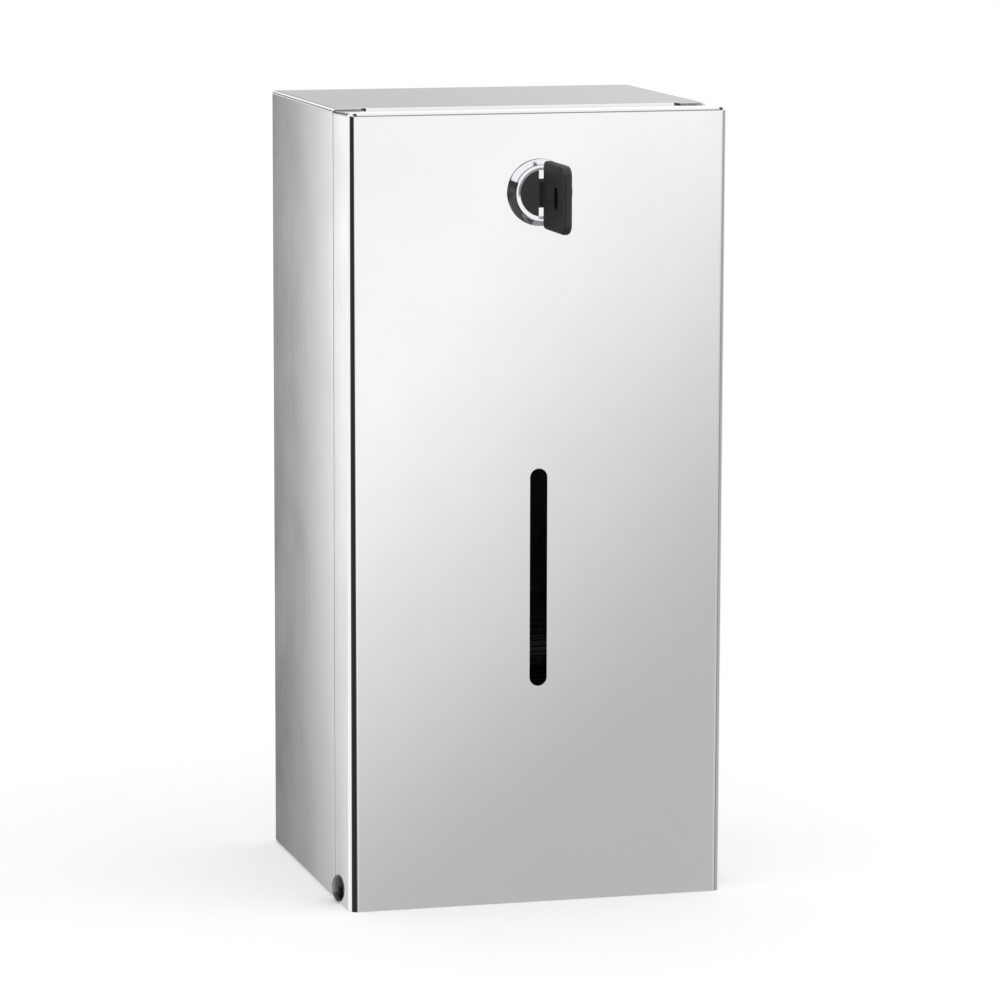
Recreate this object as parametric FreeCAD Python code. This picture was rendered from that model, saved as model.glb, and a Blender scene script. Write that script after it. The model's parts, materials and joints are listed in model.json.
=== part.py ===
import FreeCAD, Part

import math
import os

# Double roll toilet paper dispenser for a wall, in polished stainless sheet. Millimetres.
# The back lies on the wall plane y = 0 and the front faces -Y. X runs to the right seen from the
# front, Z runs up, and the origin is the middle of the back.

# Whole dispenser
width = 141.0
height = 290.0
depth = 124.0
sheet = 1.0
door_fold_radius = 2.4            # outside of the folds at the door's upright edges
roof_fold_radius = 1.2            # outside of the folds around the door's top
cabinet_fold_radius = 1.4         # outside of the cabinet's folds

# Clearances
running_clearance = 0.075         # radial, shaft in bore
touch_gap = 0.3                   # between round pieces that rest on each other
play = 0.1                        # between flat faces that slide on each other
over = 5.0                        # how far a cutting tool runs past what it cuts

# Door: a tray with a front, two side flanges and a top flange
door_flange = 23.5                # from the door's front face to the back edge of its flanges
relief_radius = 0.7               # round relief where the folds meet
corner_seam = 0.3                 # open seam between the side flanges and the top flange
mitre = 45.0                      # the seam's slope across the corner, in degrees
slot_width = 6.5
slot_length = 80.0
slot_rise = 80.5                  # lower end of the viewing slot above the door's lower edge

# Cabinet: back, sides and top in one folded sheet
seam_gap = 0.9                    # between the door's flanges and the cabinet
washer_space = 0.8                # between a door flange and the margin behind it
margin_setback = 5.0              # front edge of the margins behind the door's front sheet
margin_top_gap = 1.5              # top of the margins below the door's top flange
cabinet_lift = 0.7                # lower edge of the cabinet above the door's lower edge
lip_half_width = 58.0             # strike lip, folded down from the front of the top
lip_drop = 12.0
notch_width = 2.0                 # relief notch at each end of the lip
notch_depth = 4.0
step_angle = 65.0                 # slope of the step between each side and its margin

# Wall screws
screw_hole_radius = 2.75
screw_half_across = 35.0
screw_half_up = 100.0

# Pivots of the door
pivot_setback = 18.5              # behind the door's front face
pivot_rise = 5.0                  # above the door's lower edge
rivet_radius = 2.5
rivet_head_radius = 5.0
rivet_head_height = 2.0
rivet_tail_radius = 4.0
rivet_tail_height = 1.3
dome_steps = 8                    # straight steps in the profile of the domed head
hinge_washer_radius = 4.6         # clears the step in front of the cabinet's side

# Roll carrier: a folded U bracket on the back, whose cheeks hold the two spindles
carrier_sheet = 1.2
carrier_fold_radius = 2.0
cheek_room = 9.3                  # between each cheek and the cabinet's side, for the axle caps
cheek_rise = 16.0                 # lower edge of the carrier above the door's lower edge
cheek_top_rise = 200.0
cheek_setback = 12.0              # front edge of the cheeks behind the door's front face
cheek_lip = 6.0                   # stiffening lip along the front edge of each cheek
guide_clearance = 0.3             # radial, axle in guide slot
mouth_depth = 6.0                 # flare at the loading mouth of the guide slots
mouth_flare = 4.0
roll_setback = 62.0               # spindle axes behind the door's front face
lower_spindle_rise = 62.0         # lower spindle axis above the door's lower edge
upper_stop_rise = 178.0           # highest place of the upper spindle axis
stud_radius = 2.0
stud_half_across = 30.0
lower_stud_rise = 27.0
upper_stud_rise = 190.0
stud_tip = 0.8                    # stud past its nut
nut_flats = 7.0
nut_height = 3.2
access_radius = 8.0               # hole in the carrier around a lower wall screw

# Spindles
axle_radius = 4.0
roller_radius = 14.0
roller_wall = 1.5
roller_side_gap = 0.8             # roller to cheek
bush_flange = 1.2
bush_length = 10.0                # part of the bush inside the tube
cap_radius = 6.5
cap_depth = 4.0
cap_floor = 1.0
cap_gap = 0.4                     # cap to cheek

# Lock
lock_drop = 29.3                  # lock axis below the top
bezel_radius = 12.1
bezel_edge = 0.6                  # straight rim of the bezel on the door
bezel_height = 2.8
bezel_shoulder_radius = 11.6      # where the bezel's slope turns steeper
bezel_shoulder_height = 2.2
bezel_face_radius = 10.5
barrel_radius = 9.5
barrel_flats = 16.0
barrel_clearance = 0.1            # radial, barrel in the door
lock_washer_radius = 12.5
lock_washer_thickness = 1.0
lock_nut_flats = 22.0
lock_nut_height = 4.5
plug_radius = 7.5
collar_radius = 10.1
collar_depth = 1.6                # seat of the plug's collar below the bezel's face
collar_height = 4.6               # front of the collar above the door
collar_bevel = 0.6
face_radius = 8.4                 # dark disc set in the collar
face_thickness = 1.0
face_recess = 0.2
face_notch_width = 3.0
face_notch_length = 3.2
keyway_width = 2.2
keyway_height = 7.4
keyway_depth = 22.5
tongue_clearance = 1.0            # tongue behind the strike lip
tongue_thickness = 2.0
tongue_length = 23.0
tongue_width = 13.0
tongue_hub_radius = 8.0
tenon_side = 7.0                  # square end of the plug that turns the tongue
tongue_washer_radius = 6.0
tongue_washer_thickness = 0.8
screw_radius = 2.5
screw_length = 8.0
screw_head_radius = 4.5
screw_head_height = 3.0
screw_head_edge = 1.0             # rounding of the head
driver_slot_width = 0.8
driver_slot_length = 4.5
driver_slot_depth = 1.5
wafer_count = 5
wafer_thickness = 0.9
wafer_pitch = 3.0
wafer_width = 6.0
wafer_height = 12.0
first_wafer = 6.0                 # first wafer behind the collar's seat

# Key
blade_thickness = 2.0
blade_height = 7.0
blade_insertion = 22.0            # length of blade inside the plug
blade_tang = 7.0                  # length of blade inside the bow
blade_bevel = 2.0
neck_gap = 0.4                    # plug face to the neck of the bow
neck_height = 9.0
neck_thickness = 3.0
bow_root = 10.0                   # from the door's front face to the bow
bow_length = 27.0
bow_height = 24.5
bow_thickness = 3.4
bow_corner_radius = 4.0          # outer corners
bow_root_radius = 2.0            # corners beside the neck
bow_edge_radius = 1.2
ring_slot_width = 5.0
ring_slot_length = 8.5
ring_slot_offset = 17.0           # centre of the ring slot from the root of the bow

# Planes and places that follow from the sizes above
top = height / 2
bottom = -height / 2
side = width / 2
front = -depth
door_back = front + sheet
flange_end = front + door_flange
cabinet_front = flange_end + seam_gap
cabinet_bottom = bottom + cabinet_lift
joggle = sheet + washer_space
margin_outer = side - joggle
margin_inner = margin_outer - sheet
margin_front = door_back + margin_setback
margin_top = top - sheet - margin_top_gap
lip_back = cabinet_front + sheet
pivot_y = front + pivot_setback
pivot_z = bottom + pivot_rise
cheek_outer = side - sheet - cheek_room
cheek_inner = cheek_outer - carrier_sheet
carrier_front = front + cheek_setback
carrier_bottom = bottom + cheek_rise
carrier_top = bottom + cheek_top_rise
carrier_back = -sheet
roll_y = front + roll_setback
lower_axis_z = bottom + lower_spindle_rise
upper_axis_z = lower_axis_z + 2 * roller_radius + touch_gap
upper_stop_z = bottom + upper_stop_rise
lock_z = top - lock_drop
bezel_front = front - bezel_height
collar_seat = bezel_front + collar_depth
collar_front = front - collar_height
tongue_front = lip_back + tongue_clearance
tongue_back = tongue_front + tongue_thickness
barrel_back = tongue_front - play
wafer_slack = 2 * play            # wafer to its slot in the plug, and blade to the wafer's window

ORIGIN = FreeCAD.Vector(0, 0, 0)
ALONG_X = FreeCAD.Vector(1, 0, 0)
ALONG_Y = FreeCAD.Vector(0, 1, 0)
ALONG_Z = FreeCAD.Vector(0, 0, 1)
FULL_TURN = 360.0
HEXAGON_SIDES = 6
SAME_PLACE = 1e-6                 # coordinates closer than this count as equal


def vector(x, y, z):
    return FreeCAD.Vector(x, y, z)


def box(x, y, z):
    """Box between two values along each axis, given as pairs."""
    low = vector(min(x), min(y), min(z))
    return Part.makeBox(max(x) - low.x, max(y) - low.y, max(z) - low.z, low)


def about(middle, size):
    """Pair of values half a size each side of the middle."""
    return (middle - size / 2, middle + size / 2)


def closed_face(points):
    return Part.Face(Part.makePolygon(points + points[:1]))


def rod_x(radius, x, y, z):
    """Cylinder along X between a pair of x values."""
    return Part.makeCylinder(radius, max(x) - min(x), vector(min(x), y, z), ALONG_X)


def rod_y(radius, y, x, z):
    """Cylinder along Y between a pair of y values."""
    return Part.makeCylinder(radius, max(y) - min(y), vector(x, min(y), z), ALONG_Y)


def hexagon_rod(flats, y, x, z):
    """Hexagonal bar along Y with two flats facing up and down."""
    corner = flats / 2 / math.cos(math.pi / HEXAGON_SIDES)
    turns = [math.tau * step / HEXAGON_SIDES for step in range(HEXAGON_SIDES)]
    points = [vector(x + corner * math.cos(turn), min(y), z + corner * math.sin(turn)) for turn in turns]
    return closed_face(points).extrude(ALONG_Y * (max(y) - min(y)))


def plate_in_plan(points, z):
    """Upright bar whose outline in plan is the given (x, y) points."""
    corners = [vector(x, y, min(z)) for x, y in points]
    return closed_face(corners).extrude(ALONG_Z * (max(z) - min(z)))


def plate_from_side(points, x):
    """Bar along X whose outline seen from the side is the given (y, z) points."""
    corners = [vector(min(x), y, z) for y, z in points]
    return closed_face(corners).extrude(ALONG_X * (max(x) - min(x)))


def turned_about_lock(outline):
    """Solid of revolution about the lock's axis; the outline is (radius, y) points."""
    corners = [vector(radius, y, lock_z) for radius, y in outline]
    return closed_face(corners).revolve(vector(0, 0, lock_z), ALONG_Y, FULL_TURN)


def turned_about_pivot(outline):
    """Solid of revolution about the door's hinge line; the outline is (x, radius) points."""
    corners = [vector(x, pivot_y + radius, pivot_z) for x, radius in outline]
    return closed_face(corners).revolve(vector(0, pivot_y, pivot_z), ALONG_X, FULL_TURN)


def edges_at(shape, **place):
    """Edges whose two ends both lie at the given coordinates."""
    found = []
    for edge in shape.Edges:
        ends = [vertex.Point for vertex in edge.Vertexes]
        if all(abs(getattr(end, axis) - value) < SAME_PLACE for end in ends for axis, value in place.items()):
            found.append(edge)
    return found


def rounded(shape, radius, places):
    """The shape with the edges at the given places rounded."""
    edges = []
    for place in places:
        edges += edges_at(shape, **place)
    return shape.makeFillet(radius, edges)


def both_sides(shape):
    """The shape and its mirror image on the other side of the dispenser."""
    return [shape, shape.mirror(ORIGIN, ALONG_X)]


def cut_all(shape, tools):
    for tool in tools:
        shape = shape.cut(tool)
    return shape


def fuse_all(shape, others):
    for other in others:
        shape = shape.fuse(other)
    return shape.removeSplitter()


def save(name, shapes):
    """Writes one node: a solid, or a group of separate solids."""
    solids = [solid for shape in shapes for solid in shape.Solids]
    shape = solids[0] if len(solids) == 1 else Part.makeCompound(solids)
    shape.exportStep(os.path.join("parts", name + ".step"))
    print(name, len(solids), round(shape.Volume, 1), shape.isValid())


# Cabinet

def cabinet_box():
    """Back, sides and top with rounded folds, open at the front and the bottom."""
    outer = box((-side, side), (cabinet_front, 0), (cabinet_bottom, top))
    outer = rounded(outer, cabinet_fold_radius, [
        {"x": -side, "y": 0}, {"x": side, "y": 0}, {"y": 0, "z": top},
        {"x": -side, "z": top}, {"x": side, "z": top},
    ])
    inside = side - sheet
    roof = top - sheet
    inner = box((-inside, inside), (cabinet_front - over, -sheet), (cabinet_bottom - over, roof))
    inner = rounded(inner, cabinet_fold_radius - sheet, [
        {"x": -inside, "y": -sheet}, {"x": inside, "y": -sheet}, {"y": -sheet, "z": roof},
        {"x": -inside, "z": roof}, {"x": inside, "z": roof},
    ])
    return outer.cut(inner)


def margin():
    """Right-hand margin: the side's front edge, stepped inwards to pass behind the door flange."""
    slope = math.radians(step_angle)
    step_end = cabinet_front - joggle / math.tan(slope)
    corner = sheet * math.tan(slope / 2)
    outline = [
        (side, cabinet_front), (margin_outer, step_end), (margin_outer, margin_front),
        (margin_inner, margin_front), (margin_inner, step_end + corner),
        (side - sheet, cabinet_front + corner), (side - sheet, cabinet_front + sheet + corner),
        (side, cabinet_front + sheet + corner),
    ]
    return plate_in_plan(outline, (cabinet_bottom, margin_top))


def strike_lip():
    """Lip folded down from the front of the top, which the locking tongue catches."""
    reach = cabinet_front + notch_depth + sheet
    across = (-lip_half_width, lip_half_width)
    outer = box(across, (cabinet_front, reach), (top - lip_drop, top))
    outer = rounded(outer, cabinet_fold_radius, [{"y": cabinet_front, "z": top}])
    hollow = box((-side, side), (lip_back, reach + over), (top - lip_drop - over, top - sheet))
    hollow = rounded(hollow, cabinet_fold_radius - sheet, [{"y": lip_back, "z": top - sheet}])
    return outer.cut(hollow)


def cabinet_shell():
    shell = cabinet_box()
    notch_edge = lip_half_width + notch_width
    opened = box((-notch_edge, notch_edge), (cabinet_front - over, cabinet_front + notch_depth),
                 (top - sheet - play, top + over))
    shell = shell.cut(opened)
    shell = fuse_all(shell, [strike_lip()] + both_sides(margin()))
    holes = [rod_y(screw_hole_radius, (-sheet - over, over), across * screw_half_across, up * screw_half_up)
             for across in (-1, 1) for up in (-1, 1)]
    holes += both_sides(rod_x(rivet_radius, (margin_inner - over, side + over), pivot_y, pivot_z))
    return cut_all(shell, holes)


def hinge_rivet():
    """Right-hand pivot rivet: domed head outside the door, shank, and tail behind the margin."""
    head_base = side + play
    outline = [(margin_inner - rivet_tail_height, 0), (margin_inner - rivet_tail_height, rivet_tail_radius),
               (margin_inner, rivet_tail_radius), (margin_inner, rivet_radius), (head_base, rivet_radius),
               (head_base, rivet_head_radius)]
    for step in range(1, dome_steps + 1):
        turn = math.pi / 2 * step / dome_steps
        outline.append((head_base + rivet_head_height * math.sin(turn), rivet_head_radius * math.cos(turn)))
    outline[-1] = (head_base + rivet_head_height, 0)
    return turned_about_pivot(outline)


def hinge_washer():
    """Right-hand plastic washer between the door flange and the margin."""
    faces = (margin_outer, side - sheet - play)
    disc = rod_x(hinge_washer_radius, faces, pivot_y, pivot_z)
    return disc.cut(rod_x(rivet_radius, (margin_outer - over, side), pivot_y, pivot_z))


# Roll carrier

def guide_slot():
    """Cutter through both cheeks: the upright guide and its loading mouth to the front."""
    half = axle_radius + guide_clearance
    through = (-side, side)
    upright = box(through, (roll_y - half, roll_y + half), (lower_axis_z, upper_stop_z))
    ends = [rod_x(half, through, roll_y, z) for z in (lower_axis_z, upper_stop_z)]
    entry = box(through, (carrier_front - over, roll_y), (upper_stop_z - half, upper_stop_z + half))
    flare_end = carrier_front + mouth_depth
    wide = half + mouth_flare
    flare = plate_from_side([
        (carrier_front - play, upper_stop_z - wide), (flare_end, upper_stop_z - half),
        (flare_end, upper_stop_z + half), (carrier_front - play, upper_stop_z + wide)], through)
    return fuse_all(upright, ends + [entry, flare])


def stud_places():
    return [(across * stud_half_across, bottom + rise)
            for across in (-1, 1) for rise in (lower_stud_rise, upper_stud_rise)]


def roll_carrier():
    tall = (carrier_bottom, carrier_top)
    outer = box((-cheek_outer, cheek_outer), (carrier_front, carrier_back), tall)
    outer = rounded(outer, carrier_fold_radius, [
        {"x": -cheek_outer, "y": carrier_back}, {"x": cheek_outer, "y": carrier_back}])
    web_front = carrier_back - carrier_sheet
    inner = box((-cheek_inner, cheek_inner), (carrier_front - over, web_front),
                (carrier_bottom - over, carrier_top + over))
    inner = rounded(inner, carrier_fold_radius - carrier_sheet, [
        {"x": -cheek_inner, "y": web_front}, {"x": cheek_inner, "y": web_front}])
    lip = box((cheek_inner, cheek_outer + cheek_lip), (carrier_front, carrier_front + carrier_sheet), tall)
    carrier = fuse_all(outer.cut(inner), both_sides(lip))
    through = (carrier_back - carrier_sheet - over, carrier_back + over)
    holes = [rod_y(stud_radius, through, x, z) for x, z in stud_places()]
    holes += [rod_y(access_radius, through, across * screw_half_across, -screw_half_up) for across in (-1, 1)]
    return cut_all(carrier, [guide_slot()] + holes)


def carrier_studs():
    tip = carrier_back - carrier_sheet - nut_height - stud_tip
    return [rod_y(stud_radius, (tip, -sheet), x, z) for x, z in stud_places()]


def carrier_nuts():
    web_front = carrier_back - carrier_sheet
    faces = (web_front - nut_height, web_front)
    return [hexagon_rod(nut_flats, faces, x, z).cut(rod_y(stud_radius, (faces[0] - over, 0), x, z))
            for x, z in stud_places()]


# Spindles

def spindle_axle(z):
    reach = cheek_outer + cap_gap + cap_depth - cap_floor
    return rod_x(axle_radius, (-reach, reach), roll_y, z)


def axle_caps(z):
    inner_face = cheek_outer + cap_gap
    cap = rod_x(cap_radius, (inner_face, inner_face + cap_depth), roll_y, z)
    cap = rounded(cap, cap_floor, [{"x": inner_face + cap_depth}])
    bore = rod_x(axle_radius, (inner_face - over, inner_face + cap_depth - cap_floor), roll_y, z)
    return both_sides(cap.cut(bore))


def roller_half_length():
    return cheek_inner - roller_side_gap


def roller_tube(z):
    half = roller_half_length() - bush_flange
    tube = rod_x(roller_radius, (-half, half), roll_y, z)
    return tube.cut(rod_x(roller_radius - roller_wall, (-side, side), roll_y, z))


def roller_bushes(z):
    """Two plastic plugs pressed into the ends of the tube, which turn on the axle."""
    end = roller_half_length()
    flange = rod_x(roller_radius, (end - bush_flange, end), roll_y, z)
    plug = rod_x(roller_radius - roller_wall, (end - bush_flange - bush_length, end), roll_y, z)
    bore = rod_x(axle_radius + running_clearance, (0, side), roll_y, z)
    return both_sides(fuse_all(flange, [plug]).cut(bore))


# Door

def folded_block(half, y, z, upright_radius, roof_radius):
    """Block with its upright front edges and the rim of its top rounded."""
    block = box((-half, half), y, z)
    block = rounded(block, upright_radius, [{"x": end, "y": min(y)} for end in (-half, half)])
    return rounded(block, roof_radius, [{"z": max(z)}])


def door_tray():
    back = flange_end + over
    outer = folded_block(side, (front, back), (bottom, top), door_fold_radius, roof_fold_radius)
    inner = folded_block(side - sheet, (door_back, back + over), (bottom - over, top - sheet),
                         door_fold_radius - sheet, roof_fold_radius - sheet)
    behind = box((-width, width), (flange_end, back + over), (-height, height))
    return outer.cut(inner).cut(behind)


def flange_corner():
    """Cutter that rounds the lower back corner of both side flanges about the hinge line."""
    through = (-side - over, side + over)
    radius = min(pivot_rise, flange_end - pivot_y)
    middle = (flange_end - radius, bottom + radius)
    corner = box(through, (middle[0], flange_end + over), (bottom - over, middle[1]))
    return corner.cut(rod_x(radius, through, *middle))


def fold_reliefs():
    """Round relief at the end of the top fold, and the open seam along the top, right-hand side."""
    z = top - roof_fold_radius
    fold = vector(side - door_fold_radius, front + roof_fold_radius, z)
    outwards = vector(0, -1, 1)
    hole = Part.makeCylinder(relief_radius, roof_fold_radius + over, fold - outwards, outwards)
    seam = box(about(0, corner_seam), (front + door_fold_radius, flange_end + over),
               (0, roof_fold_radius + over))
    seam.rotate(ORIGIN, ALONG_Y, mitre)
    seam.translate(vector(side - roof_fold_radius, 0, z))
    return hole.fuse(seam)


def viewing_slot():
    half = slot_width / 2
    through = (front - over, door_back + over)
    low = bottom + slot_rise + half
    high = bottom + slot_rise + slot_length - half
    slot = box((-half, half), through, (low, high))
    return fuse_all(slot, [rod_y(half, through, 0, z) for z in (low, high)])


def flatted_rod(radius, flats, y):
    """Round bar along the lock's axis with a flat on its left and right."""
    return rod_y(radius, y, 0, lock_z).common(box(about(0, flats), y, about(lock_z, 2 * radius)))


def door_panel():
    lock_hole = flatted_rod(barrel_radius + barrel_clearance, barrel_flats + 2 * barrel_clearance,
                            (front - over, door_back + over))
    pivot_holes = both_sides(rod_x(rivet_radius + running_clearance, (margin_outer, side + over),
                                   pivot_y, pivot_z))
    cutters = [flange_corner(), viewing_slot(), lock_hole] + both_sides(fold_reliefs()) + pivot_holes
    return cut_all(door_tray(), cutters)


# Lock

def lock_housing():
    """Bezel on the door's face and flatted barrel behind it, bored for the plug and its collar."""
    bezel = turned_about_lock([
        (0, front), (bezel_radius, front), (bezel_radius, front - bezel_edge),
        (bezel_shoulder_radius, front - bezel_shoulder_height),
        (bezel_face_radius, bezel_front), (0, bezel_front)])
    barrel = flatted_rod(barrel_radius, barrel_flats, (front, barrel_back))
    bore = rod_y(plug_radius + running_clearance, (bezel_front - over, barrel_back + over), 0, lock_z)
    seat = rod_y(collar_radius + running_clearance, (bezel_front - over, collar_seat), 0, lock_z)
    return cut_all(fuse_all(bezel, [barrel]), [bore, seat])


def lock_washer():
    faces = (door_back, door_back + lock_washer_thickness)
    hole = flatted_rod(barrel_radius, barrel_flats, (front, faces[1] + over))
    return rod_y(lock_washer_radius, faces, 0, lock_z).cut(hole)


def lock_nut():
    start = door_back + lock_washer_thickness
    faces = (start, start + lock_nut_height)
    nut = hexagon_rod(lock_nut_flats, faces, 0, lock_z)
    return nut.cut(rod_y(barrel_radius, (front, faces[1] + over), 0, lock_z))


def keyway(width, high, y):
    return box(about(0, width), y, about(lock_z, high))


def wafer_places():
    start = collar_seat + first_wafer
    return [(start + step * wafer_pitch, start + step * wafer_pitch + wafer_thickness)
            for step in range(wafer_count)]


def lock_plug():
    """Turning core: bright collar in front, body, square tenon behind, keyway and wafer slots."""
    plug = turned_about_lock([
        (0, collar_front), (collar_radius - collar_bevel, collar_front),
        (collar_radius, collar_front + collar_bevel), (collar_radius, collar_seat - play),
        (plug_radius, collar_seat - play), (plug_radius, barrel_back), (0, barrel_back)])
    tenon = keyway(tenon_side, tenon_side, (barrel_back - play, tongue_back))
    plug = fuse_all(plug, [tenon])
    face_seat = rod_y(face_radius, (collar_front - over, collar_front + face_recess + face_thickness),
                      0, lock_z)
    slot = keyway(keyway_width, keyway_height, (collar_front - over, collar_front + keyway_depth))
    threaded = rod_y(screw_radius, (tongue_back - screw_length, tongue_back + over), 0, lock_z)
    wafer_slots = [keyway(wafer_width + wafer_slack, wafer_height + wafer_slack,
                          (near - play, far + play)) for near, far in wafer_places()]
    return cut_all(plug, [face_seat, slot, threaded] + wafer_slots)


def plug_face():
    """Dark disc set in the collar, with a notch above and below and the keyway between them."""
    faces = (collar_front + face_recess, collar_front + face_recess + face_thickness)
    disc = rod_y(face_radius, faces, 0, lock_z)
    through = (faces[0] - over, faces[1] + over)
    notch_middle = face_radius - face_notch_length / 2
    notches = [box(about(0, face_notch_width), through,
                   about(lock_z + up * notch_middle, face_notch_length + play)) for up in (-1, 1)]
    return cut_all(disc, notches + [keyway(keyway_width, keyway_height, through)])


def lock_wafers():
    """Flat wafers in the plug; the key's blade passes through their windows."""
    window = keyway(blade_thickness + wafer_slack, blade_height + wafer_slack, (front - over, barrel_back))
    return [keyway(wafer_width, wafer_height, place).cut(window) for place in wafer_places()]


def lock_tongue():
    """Flat cam on the tenon, pointing to the left while the lock is open."""
    faces = (tongue_front, tongue_back)
    hub = rod_y(tongue_hub_radius, faces, 0, lock_z)
    arm = box((-tongue_length, 0), faces, about(lock_z, tongue_width))
    tongue = fuse_all(hub, [arm])
    square = keyway(tenon_side, tenon_side, (tongue_front - over, tongue_back + over))
    return tongue.cut(square)


def tongue_washer():
    faces = (tongue_back, tongue_back + tongue_washer_thickness)
    hole = rod_y(screw_radius, (tongue_back - over, faces[1] + over), 0, lock_z)
    return rod_y(tongue_washer_radius, faces, 0, lock_z).cut(hole)


def tongue_screw():
    under_head = tongue_back + tongue_washer_thickness
    shank = rod_y(screw_radius, (tongue_back - screw_length, under_head), 0, lock_z)
    head = rod_y(screw_head_radius, (under_head, under_head + screw_head_height), 0, lock_z)
    end = under_head + screw_head_height
    head = rounded(head, screw_head_edge, [{"y": end}])
    driver = [keyway(across, high, (end - driver_slot_depth, end + over))
              for across, high in ((driver_slot_length, driver_slot_width),
                                   (driver_slot_width, driver_slot_length))]
    return cut_all(fuse_all(shank, [head]), driver)


# Key

def key_blade():
    tip = collar_front + blade_insertion
    tang_end = front - bow_root - blade_tang
    blade = keyway(blade_thickness, blade_height, (tang_end, tip))
    half = blade_height / 2
    corners = [plate_from_side([(tip - blade_bevel, lock_z + up * half), (tip, lock_z + up * half),
                                (tip, lock_z + up * (half - blade_bevel))], (-side, side)) for up in (-1, 1)]
    return cut_all(blade, corners)


def key_bow():
    """Plastic grip around the blade's tang: neck, flat rounded bow and a slot for the key ring."""
    root = front - bow_root
    end = root - bow_length
    bow = box(about(0, bow_thickness), (root, end), about(lock_z, bow_height))
    low = lock_z - bow_height / 2
    high = lock_z + bow_height / 2
    bow = rounded(bow, bow_root_radius, [{"y": root, "z": low}, {"y": root, "z": high}])
    bow = rounded(bow, bow_corner_radius, [{"y": end, "z": low}, {"y": end, "z": high}])
    bow = rounded(bow, bow_edge_radius, [{"x": -bow_thickness / 2}, {"x": bow_thickness / 2}])
    neck = box(about(0, neck_thickness), (collar_front - neck_gap, root - bow_corner_radius),
               about(lock_z, neck_height))
    bow = fuse_all(bow, [neck])
    ring_y = root - ring_slot_offset
    half = ring_slot_width / 2
    straight = ring_slot_length / 2 - half
    through = (-side, side)
    ring_slot = fuse_all(box(through, about(ring_y, ring_slot_width), about(lock_z, 2 * straight)),
                         [rod_x(half, through, ring_y, lock_z + up * straight) for up in (-1, 1)])
    pocket = keyway(blade_thickness, blade_height, (root - blade_tang, front))
    return cut_all(bow, [ring_slot, pocket])


NODES = {
    "cabinet_shell": lambda: [cabinet_shell()],
    "roll_carrier": lambda: [roll_carrier()],
    "carrier_studs": carrier_studs,
    "carrier_nuts": carrier_nuts,
    "hinge_rivets": lambda: both_sides(hinge_rivet()),
    "hinge_washers": lambda: both_sides(hinge_washer()),
    "lower_axle": lambda: [spindle_axle(lower_axis_z)],
    "lower_axle_caps": lambda: axle_caps(lower_axis_z),
    "lower_roller_tube": lambda: [roller_tube(lower_axis_z)],
    "lower_roller_bushes": lambda: roller_bushes(lower_axis_z),
    "upper_axle": lambda: [spindle_axle(upper_axis_z)],
    "upper_axle_caps": lambda: axle_caps(upper_axis_z),
    "upper_roller_tube": lambda: [roller_tube(upper_axis_z)],
    "upper_roller_bushes": lambda: roller_bushes(upper_axis_z),
    "door_panel": lambda: [door_panel()],
    "lock_housing": lambda: [lock_housing()],
    "lock_washer": lambda: [lock_washer()],
    "lock_nut": lambda: [lock_nut()],
    "lock_plug": lambda: [lock_plug()],
    "plug_face": lambda: [plug_face()],
    "lock_wafers": lock_wafers,
    "lock_tongue": lambda: [lock_tongue()],
    "tongue_washer": lambda: [tongue_washer()],
    "tongue_screw": lambda: [tongue_screw()],
    "key_blade": lambda: [key_blade()],
    "key_bow": lambda: [key_bow()],
}

os.makedirs("parts", exist_ok=True)
for node, make in NODES.items():
    save(node, make())
print("hinge line y", pivot_y, "z", pivot_z, "upper spindle lift", upper_stop_z - upper_axis_z)
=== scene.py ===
import json
import math
import bmesh
import bpy
from mathutils import Matrix, Vector


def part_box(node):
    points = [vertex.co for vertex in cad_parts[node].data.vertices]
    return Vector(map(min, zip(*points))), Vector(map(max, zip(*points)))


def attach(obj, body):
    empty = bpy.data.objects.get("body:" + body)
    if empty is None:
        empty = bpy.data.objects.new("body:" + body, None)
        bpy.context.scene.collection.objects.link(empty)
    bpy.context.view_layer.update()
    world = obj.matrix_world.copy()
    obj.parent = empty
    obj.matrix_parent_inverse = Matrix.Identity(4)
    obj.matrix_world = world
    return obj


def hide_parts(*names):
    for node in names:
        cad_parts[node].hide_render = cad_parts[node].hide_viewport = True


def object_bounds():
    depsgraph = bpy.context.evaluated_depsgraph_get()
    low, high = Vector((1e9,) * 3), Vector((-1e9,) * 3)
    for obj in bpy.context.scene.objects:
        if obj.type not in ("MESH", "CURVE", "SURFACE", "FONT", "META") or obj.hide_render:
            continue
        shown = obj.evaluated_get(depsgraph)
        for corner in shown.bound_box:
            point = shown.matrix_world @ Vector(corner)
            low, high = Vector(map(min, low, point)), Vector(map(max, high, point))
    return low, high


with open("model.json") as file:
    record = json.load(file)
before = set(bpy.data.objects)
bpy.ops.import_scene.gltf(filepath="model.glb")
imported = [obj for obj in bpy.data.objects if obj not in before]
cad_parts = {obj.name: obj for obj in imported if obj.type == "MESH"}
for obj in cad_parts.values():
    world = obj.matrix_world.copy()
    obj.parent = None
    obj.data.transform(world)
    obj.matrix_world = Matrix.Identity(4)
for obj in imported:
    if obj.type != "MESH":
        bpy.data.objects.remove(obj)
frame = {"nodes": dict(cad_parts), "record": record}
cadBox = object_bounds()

# Double roll toilet paper dispenser in polished stainless steel, metres, in the frame's place.
mm = 0.001
scene = bpy.context.scene
nodes = frame["nodes"]


def linear(hexColour):
    # sRGB hex to linear RGBA
    parts = [int(hexColour[i:i + 2], 16) / 255 for i in (1, 3, 5)]
    return tuple(c / 12.92 if c <= 0.04045 else ((c + 0.055) / 1.055) ** 2.4 for c in parts) + (1.0,)


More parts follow.
